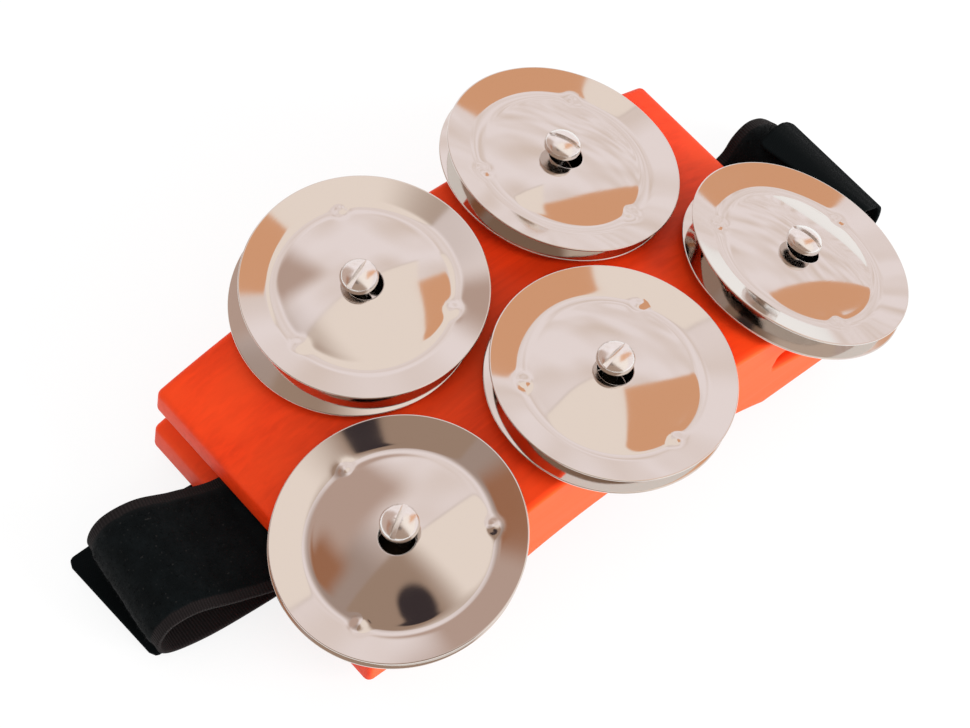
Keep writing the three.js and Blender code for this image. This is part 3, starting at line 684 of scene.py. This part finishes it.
def webbing(route, low, high, corner):
    """A band along route, whose rows are x, y, z and the turn in plan of the line it bends about.

    low and high give the heights of its two faces from the distances along and across. It returns the
    points, the faces, each point's distance along and across and its height, and each row's way up."""
    line = smooth_line(route, np.linspace(0, 1, 12 * len(route)))
    gaps = np.linalg.norm(np.diff(line[:, :3], axis=0), axis=1)
    reach = np.concatenate([[0], np.cumsum(gaps)])
    along = np.linspace(0, reach[-1], int(reach[-1] / WEB_STEP) + 1)
    centre = np.stack([np.interp(along, reach, line[:, k]) for k in range(4)], 1)
    for _ in range(3): # takes the corners out of the straight steps
        centre[1:-1] = (centre[:-2] + 2 * centre[1:-1] + centre[2:]) / 4
    tangent = np.gradient(centre[:, :3], axis=0)
    tangent /= np.linalg.norm(tangent, axis=1)[:, None]
    turn = np.radians(centre[:, 3])
    bend = np.stack([-np.sin(turn), np.cos(turn), np.zeros(len(turn))], 1)
    up = np.cross(tangent, bend)
    up /= np.linalg.norm(up, axis=1)[:, None]
    sideways = np.cross(up, tangent)
    to_end = np.minimum(along, reach[-1] - along)
    into = np.clip(corner - to_end, 0, corner)
    half = STRAP_WIDE / 2 - corner + np.sqrt(corner ** 2 - into ** 2)
    share = np.linspace(-1, 1, WEB_COLUMNS)
    share = np.sign(share) * np.abs(share) ** 0.9 # a little closer together at the selvedges
    across = np.outer(half, np.concatenate([share, share[::-1]]))
    heights = [low(along[:, None], across[:, :WEB_COLUMNS]), high(along[:, None], across[:, WEB_COLUMNS:])]
    heights = np.concatenate(heights, 1)
    points = centre[:, None, :3] + across[..., None] * sideways[:, None] + heights[..., None] * up[:, None]
    points[..., 2] = np.maximum(points[..., 2], 0)
    size = 2 * WEB_COLUMNS
    k, j = np.meshgrid(np.arange(len(along) - 1), np.arange(size), indexing="ij")
    here, over = k * size + j, k * size + (j + 1) % size
    faces = np.stack([here, over, over + size, here + size], 2).reshape(-1, 4)
    first, last = np.arange(size), (len(along) - 1) * size + np.arange(size)
    caps = [
        [row[j], row[j + 1], row[size - 2 - j], row[size - 1 - j]][::step]
        for row, step in ((first, -1), (last, 1)) for j in range(WEB_COLUMNS - 1)
    ]
    marks = np.stack([np.broadcast_to(along[:, None], across.shape), across, heights], 2).reshape(-1, 3)
    return points.reshape(-1, 3), faces.tolist() + caps, marks, up


LAST_TURN = TOP_TURN - LAST_SCREW / TOP_RADIUS
RIM_SEAT = CLEAR + DOME_RISE - LIP_RISE
LAST_RIM = on_top(TOP_RADIUS + RIM_SEAT, LAST_TURN)
LAST_RIM += JINGLE_R * np.array([math.cos(LAST_TURN), -math.sin(LAST_TURN)])
RIGHT_TURN = LAST_RIM[0] + PAST_RIM
MOUTH_MIDDLE = MOUTH_ROOF - CLEAR - PILE_THICK / 2 - MOUTH_SAG
HUMP_HIGH = LAST_RIM[1] - HUMP_UNDER_RIM - MOUTH_MIDDLE
HUMP_ROWS = [ # how far past the last rim, and the share of the hump's height
    (HALF - LAST_RIM[0], 0), (-7.3, 0.02), (-4.1, 0.25), (-2.8, 0.64), (-0.1, 1),
    (3.9, 0.99), (8.5, 0.62), (13.1, 0.05), (15.9, -0.3),
]
hump = smooth_line(
    [(LAST_RIM[0] + past, STRAP_Y, MOUTH_MIDDLE + share * HUMP_HIGH) for past, share in HUMP_ROWS],
    np.linspace(0, 1, 400),
)
hump_reach = np.concatenate([[0], np.cumsum(np.linalg.norm(np.diff(hump, axis=0), axis=1))])


def hump_row(distance, lift, shift):
    """A row of a route along the hump, lifted off it and shifted across it."""
    distance = min(max(distance, 0), hump_reach[-1])
    before, at, after = (
        np.array([np.interp(distance + step, hump_reach, hump[:, k]) for k in range(3)])
        for step in (-0.1, 0, 0.1)
    )
    up = np.cross(after - before, (0, 1, 0))
    at += lift * up / np.linalg.norm(up)
    return [at[0], at[1] + shift, at[2], 0]


def tucked_end(side):
    """The doubled end inside a slot: in on the slot's floor, over, and out again on top."""
    leaf = PILE_THICK + TUCK_GAP
    inner = SLOT_END_TURN + (CLEAR + PILE_THICK / 2 + leaf / 2) / FLOOR_RADIUS
    rows = []
    half = TUCK_LONG / 2
    for along, lift in (
        (TUCK_LONG, 0), (half, 0), (0.3, 0), (-leaf / 2, leaf / 2), (0.3, leaf), (half, leaf),
    ):
        x, z = on_top(FLOOR_RADIUS + CLEAR + PILE_THICK / 2 + lift, side * (inner + along / FLOOR_RADIUS))
        rows.append((x, STRAP_Y, z, 0))
    return rows


def left_route():
    """Out of the slot, up and over, and back under the block to the far foot."""
    under = HOOK_THICK + CLEAR + PILE_THICK / 2
    mouth = MOUTH_ROOF - CLEAR - PILE_THICK / 2 - 0.4
    tip = -HALF - LEFT_REACH
    return [
        *tucked_end(-1),
        (-HALF, 1.4, mouth, 0),
        (tip + 20, 3.9, mouth + 2, -5),
        (tip + 10, 6.4, mouth + 4.2, -8),
        (tip + 3.4, 7.6, mouth + 2.2, -8),
        (tip + 0.8, 7.9, mouth - 3.6, -8),
        (tip + 2.6, 7.7, mouth - 8.6, -6),
        (tip + 11, 6.8, under + 2.6, -3),
        (-HALF - 5, 6.4, under + 0.3, 0),
        (-HALF + 6, 6.2, under, 0),
        (0, 4.4, under, 0),
        (HALF - UNDER_END, 2.6, under, 0),
    ]


# Black nylon webbing: the pile's loops are too fine to count, so they show as a soft nap with a dull
# sheen and a little lint. The selvedges are plain weave, ribbed across and worn to a brownish black.
PILE_BLACK = linear("#03080A")
PILE_LIT = linear("#0A1012")
LINT = linear("#3A3735")
SELVEDGE_DARK = linear("#181414")
SELVEDGE_RIB = linear("#221D1D")
NAP = 0.5 # mm from loop to loop
TUFT = 9 * NAP
SPECK = 0.7
RIB = 0.7 # mm from rib to rib along the selvedge
RELIEF = 0.12
PILE_EDGE = STRAP_WIDE / 2 - SELVEDGE # from the middle to where the pile ends
PILE_FADE = 1.6


def waves(tree, distance, length):
    """A wave from -1 to 1 along a distance, one for each length in mm."""
    turns = {0: distance, 1: 2 * math.pi / length}
    turns = add_node(tree, "ShaderNodeMath", turns, operation="MULTIPLY").outputs[0]
    return add_node(tree, "ShaderNodeMath", {0: turns}, operation="SINE").outputs[0]


pile_web, tree, gloss = new_finish("black_loop_pile_on_nylon_webbing", {
    "Roughness": 0.9, "Specular IOR Level": 0.12, "Sheen Weight": 0.03, "Sheen Roughness": 0.5,
})
marks = add_node(tree, "ShaderNodeAttribute", attribute_name="webbing").outputs["Vector"]
parts = add_node(tree, "ShaderNodeSeparateXYZ", {0: marks}).outputs
place = add_node(tree, "ShaderNodeTexCoord").outputs["Object"]
off_middle = add_node(tree, "ShaderNodeMath", {0: parts["Y"]}, operation="ABSOLUTE").outputs[0]
selvedge = {"Value": off_middle, "From Min": PILE_EDGE, "From Max": PILE_EDGE + PILE_FADE}
selvedge = add_node(tree, "ShaderNodeMapRange", selvedge).outputs[0]
back = {"Value": parts["Z"], "From Min": 0.35, "From Max": 0.25}
back = add_node(tree, "ShaderNodeMapRange", back).outputs[0]
woven = add_node(tree, "ShaderNodeMath", {0: selvedge, 1: back}, operation="MAXIMUM").outputs[0]
ribs = {"Value": waves(tree, parts["X"], RIB), "From Min": -1}
ribs = add_node(tree, "ShaderNodeMapRange", ribs).outputs[0]
nap, tufts, specks = (
    add_node(tree, "ShaderNodeTexNoise", {"Vector": place, "Scale": scale, "Detail": fine}).outputs["Fac"]
    for scale, fine in ((1 / (NAP * MM), 2), (1 / (TUFT * MM), 3), (1 / (SPECK * MM), 1))
)
lit = add_node(tree, "ShaderNodeMapRange", {"Value": tufts, "From Min": 0.4, "From Max": 0.75}).outputs[0]
black = add_node(tree, "ShaderNodeMixRGB", {"Fac": lit, "Color1": PILE_BLACK, "Color2": PILE_LIT}).outputs[0]
linted = {"Value": specks, "From Min": 0.7, "From Max": 0.78, "To Max": 0.5}
linted = add_node(tree, "ShaderNodeMapRange", linted).outputs[0]
black = add_node(tree, "ShaderNodeMixRGB", {"Fac": linted, "Color1": black, "Color2": LINT}).outputs[0]
ribbed = {"Fac": ribs, "Color1": SELVEDGE_DARK, "Color2": SELVEDGE_RIB}
ribbed = add_node(tree, "ShaderNodeMixRGB", ribbed).outputs[0]
colour = add_node(tree, "ShaderNodeMixRGB", {"Fac": woven, "Color1": black, "Color2": ribbed}).outputs[0]
tree.links.new(colour, gloss.inputs["Base Color"])
relief = add_node(tree, "ShaderNodeMixRGB", {"Fac": woven, "Color1": nap, "Color2": ribs}).outputs[0]
relief = {"Height": relief, "Strength": 1, "Distance": RELIEF * MM}
raised = add_node(tree, "ShaderNodeBump", relief).outputs[0]
tree.links.new(raised, gloss.inputs["Normal"])

BASE_HIGH = 0.15 # of the woven base over the middle of the webbing
PILE_RISES = 1.8 # mm in from the selvedge, over which the pile comes up
PLUSH = 0.12 # by how much the pile's tufts stand higher or lower


def pile_faces(pile_side):
    """Heights of a pile strap's two faces: a thin woven base, and the pile between the selvedges."""
    def woven_face(along, across):
        return np.full(across.shape, -pile_side * PILE_THICK / 2)

    def pile_face(along, across):
        inside = np.clip((PILE_EDGE - np.abs(across)) / PILE_RISES + 0.5, 0, 1)
        tufts = np.sin(along * 1.7 + 2.1 * np.sin(across * 0.9)) * np.sin(across * 1.3 + along * 0.6)
        return pile_side * (BASE_HIGH + inside * (PILE_THICK / 2 - BASE_HIGH - PLUSH + PLUSH * tufts))

    return (woven_face, pile_face) if pile_side > 0 else (pile_face, woven_face)


# Loose nylon ends of the pile, lighter than it because light catches each by itself
FUZZ_LONG = 1.0
FUZZ_R = 0.035
FUZZ_CLEAR = 1.5
FUZZ_BLACK = linear("#04080A")
FUZZ_LIT = linear("#131617")

fuzz_nylon, tree, gloss = new_finish(
    "loose_black_nylon_loops", {"Roughness": 0.8, "Specular IOR Level": 0.15},
)
place = add_node(tree, "ShaderNodeTexCoord").outputs["Object"]
mottled = add_node(tree, "ShaderNodeTexNoise", {"Vector": place, "Scale": 300}).outputs["Fac"]
colour = add_node(tree, "ShaderNodeMixRGB", {"Fac": mottled, "Color1": FUZZ_BLACK, "Color2": FUZZ_LIT})
tree.links.new(colour.outputs[0], gloss.inputs["Base Color"])


def pile_fuzz(name, points, up, pile_side, count, random):
    """Loose ends of the pile: fine curved strands that stand off the webbing and blur its outline.

    up is each row's way up. Only the rows that are past the block get strands."""
    size = 2 * WEB_COLUMNS
    rows = np.flatnonzero(np.abs(points.reshape(-1, size, 3).mean(1)[:, 0]) > HALF + FUZZ_CLEAR)
    row = random.choice(rows[:-1], count)
    first = WEB_COLUMNS if pile_side > 0 else 0
    column = first + 4 + random.integers(0, WEB_COLUMNS - 9, count)
    mix = random.uniform(0, 1, (count, 1))
    base = points[row * size + column] * (1 - mix) + points[(row + 1) * size + column] * mix
    out = pile_side * up[row] + random.normal(0, 0.6, (count, 3))
    out /= np.linalg.norm(out, axis=1)[:, None]
    side = np.cross(out, random.normal(0, 1, (count, 3)))
    side /= np.linalg.norm(side, axis=1)[:, None]
    other = np.cross(out, side)
    long = random.uniform(0.35, 1.0, (count, 1)) * FUZZ_LONG
    # Each strand is a bent tapering tube of four rings of three points, with its root in the pile
    rings = []
    for share, thick in ((-0.1, 1), (0.35, 0.9), (0.7, 0.7), (1.0, 0.25)):
        centre = base + out * long * share * (1 - 0.3 * share) + side * long * 0.6 * share ** 2
        for corner in range(3):
            turn = 2 * math.pi * corner / 3
            rings.append(centre + FUZZ_R * thick * (math.cos(turn) * side + math.sin(turn) * other))
    strands = np.stack(rings, 1).reshape(-1, 3)
    start = np.arange(count)[:, None] * 12
    sides = [
        start + [ring + corner, ring + (corner + 1) % 3, ring + 3 + (corner + 1) % 3, ring + 3 + corner]
        for ring in (0, 3, 6) for corner in range(3)
    ]
    ends = [start + [0, 2, 1], start + [9, 10, 11]]
    faces = np.concatenate(sides).tolist() + np.concatenate(ends).tolist()
    return new_object(name, strands, faces, fuzz_nylon)


right_route = tucked_end(1) + [hump_row(distance, 0, 0) for distance in np.linspace(0, 1, 9) * hump_reach[-1]]
random = np.random.default_rng(23)
for side, route, pile_side, strands in (("left", left_route(), -1, 5200), ("right", right_route, 1, 2600)):
    node = f"pile_strap_{side}"
    low, high = pile_faces(pile_side)
    points, faces, marks, up = webbing(route, low, high, STRAP_CORNER)
    piece = new_object(f"woven_{node}", points, faces, pile_web)
    keep_vectors(piece, "webbing", marks * [1, 1, pile_side])
    fuzz = pile_fuzz(f"{side}_pile_fuzz", points, up, pile_side, strands, random)
    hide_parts(node)
    for part in (piece, fuzz):
        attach(part, "block")

# Hook strap: thin woven nylon with rows of small moulded hooks on its inner face. It lies on the floor
# under the block, turns up at the right end and closes over the right strap's end with a short flap.
HOOK_PAST = -0.6
HOOK_END_Y = 11.2
END_BOW = ((0, 0), (8, 0.7), (16, 1.1), (30, 1.2)) # how far along, and how far it bows off its line
FOLD_Y = -1.4
FLAP_LONG = 19.5
FLAP_ASIDE = 5 # of its end, towards the front
FOLD_START = 14 # mm short of the fold, where the tape leaves the floor
HOOK_HIGH = 0.4 # room left for the hooks
HOOK_CORNER = 1.8


def hook_route():
    """From under the left loop, along the floor, round the right strap's end and back over it."""
    floor_z = HOOK_THICK / 2
    left = -HALF - LEFT_REACH - HOOK_PAST
    run = RIGHT_TURN - FOLD_START - left
    rows = [
        (left + along, HOOK_END_Y + (FOLD_Y - HOOK_END_Y) * along / run + bow, floor_z, 0)
        for along, bow in (*END_BOW, (run / 2, 0), (run, 0))
    ]
    top_x, top_z = hump[-1][0], hump[-1][2]
    rows += [
        (top_x + (RIGHT_TURN - top_x) * out, FOLD_Y, floor_z + (top_z - floor_z) * rise, 0)
        for out, rise in ((0.35, 0), (0.73, 0.09), (0.82, 0.34), (0.71, 0.77))
    ]
    over = PILE_THICK / 2 + HOOK_THICK / 2 + 1.5 * CLEAR
    rows += [
        hump_row(hump_reach[-1] - share * FLAP_LONG, over, FOLD_Y - STRAP_Y - FLAP_ASIDE * share)
        for share in np.linspace(0, 1, 7)
    ]
    return rows


def hook_back(along, across):
    return np.full(across.shape, -HOOK_THICK / 2)


def hook_face(along, across):
    return np.full(across.shape, HOOK_THICK / 2 - HOOK_HIGH)


# Black woven nylon: a flat, tight plain weave, dull and blue-black, which shows only as a faint grain.
HOOK_BLACK = linear("#080B0C")
HOOK_RIB_LIT = linear("#0F1213")
WARP = 0.8 # mm between the ribs along the tape
WEFT = 0.6 * WARP
WEAVE_DEEP = 0.1

hook_web, tree, gloss = new_finish("black_nylon_hook_tape", {"Roughness": 0.9, "Specular IOR Level": 0.03})
marks = add_node(tree, "ShaderNodeAttribute", attribute_name="webbing").outputs["Vector"]
parts = add_node(tree, "ShaderNodeSeparateXYZ", {0: marks}).outputs
weave = {0: waves(tree, parts["Y"], WARP), 1: waves(tree, parts["X"], WEFT)}
weave = add_node(tree, "ShaderNodeMath", weave, operation="MULTIPLY").outputs[0]
weave = add_node(tree, "ShaderNodeMapRange", {"Value": weave, "From Min": -1}).outputs[0]
colour = add_node(tree, "ShaderNodeMixRGB", {"Fac": weave, "Color1": HOOK_BLACK, "Color2": HOOK_RIB_LIT})
tree.links.new(colour.outputs[0], gloss.inputs["Base Color"])
woven = {"Height": weave, "Strength": 0.6, "Distance": WEAVE_DEEP * MM}
raised = add_node(tree, "ShaderNodeBump", woven).outputs[0]
tree.links.new(raised, gloss.inputs["Normal"])

points, faces, marks, up = webbing(hook_route(), hook_back, hook_face, HOOK_CORNER)
hook_tape = new_object("hook_tape", points, faces, hook_web)
keep_vectors(hook_tape, "webbing", marks)
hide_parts("hook_strap")
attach(hook_tape, "block")

# Nails: small round nails of drawn steel wire, two in each slot. They are driven up from the foot
# through the doubled strap, and hold it in the slot.
NAIL_R = 0.8
NAIL_HEAD_R = 1.5
NAIL_HEAD_THICK = 0.8
NAIL_SEGMENTS = 32

# Plain drawn steel: a grey metal, mottled and half dull from the drawing and the tumbling.
STEEL_DARK = linear("#8E8B88")
STEEL_LIGHT = linear("#A9A7A4")

wire, tree, gloss = new_finish("plain_drawn_steel_wire", {"Metallic": 1})
place = add_node(tree, "ShaderNodeTexCoord").outputs["Object"]
drawn = add_node(tree, "ShaderNodeTexNoise", {"Vector": place, "Scale": 1500, "Detail": 3}).outputs["Fac"]
colour = add_node(tree, "ShaderNodeMixRGB", {"Fac": drawn, "Color1": STEEL_DARK, "Color2": STEEL_LIGHT})
tree.links.new(colour.outputs[0], gloss.inputs["Base Color"])
rough = add_node(tree, "ShaderNodeMapRange", {"Value": drawn, "To Min": 0.25, "To Max": 0.45}).outputs[0]
tree.links.new(rough, gloss.inputs["Roughness"])

for side in ("left", "right"):
    for row in ("front", "back"):
        node = f"strap_nail_{side}_{row}"
        low_corner, high_corner = (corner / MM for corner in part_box(node))
        middle = (low_corner + high_corner) / 2
        base, tip = low_corner.z, high_corner.z
        under_head = base + NAIL_HEAD_THICK
        section = np.array([
            (NEAR_AXIS, base), (NAIL_HEAD_R - 0.15, base), (NAIL_HEAD_R, base + 0.15),
            (NAIL_HEAD_R, under_head - 0.1), (NAIL_HEAD_R - 0.1, under_head), (NAIL_R, under_head),
            (NAIL_R, tip - 4 * NAIL_R), (NEAR_AXIS, tip),
        ])
        points, faces = solid_lathe(section, NAIL_SEGMENTS)
        piece = new_object(f"round_{node}", points + [middle.x, middle.y, 0], faces, wire)
        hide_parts(node)
        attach(piece, "block")
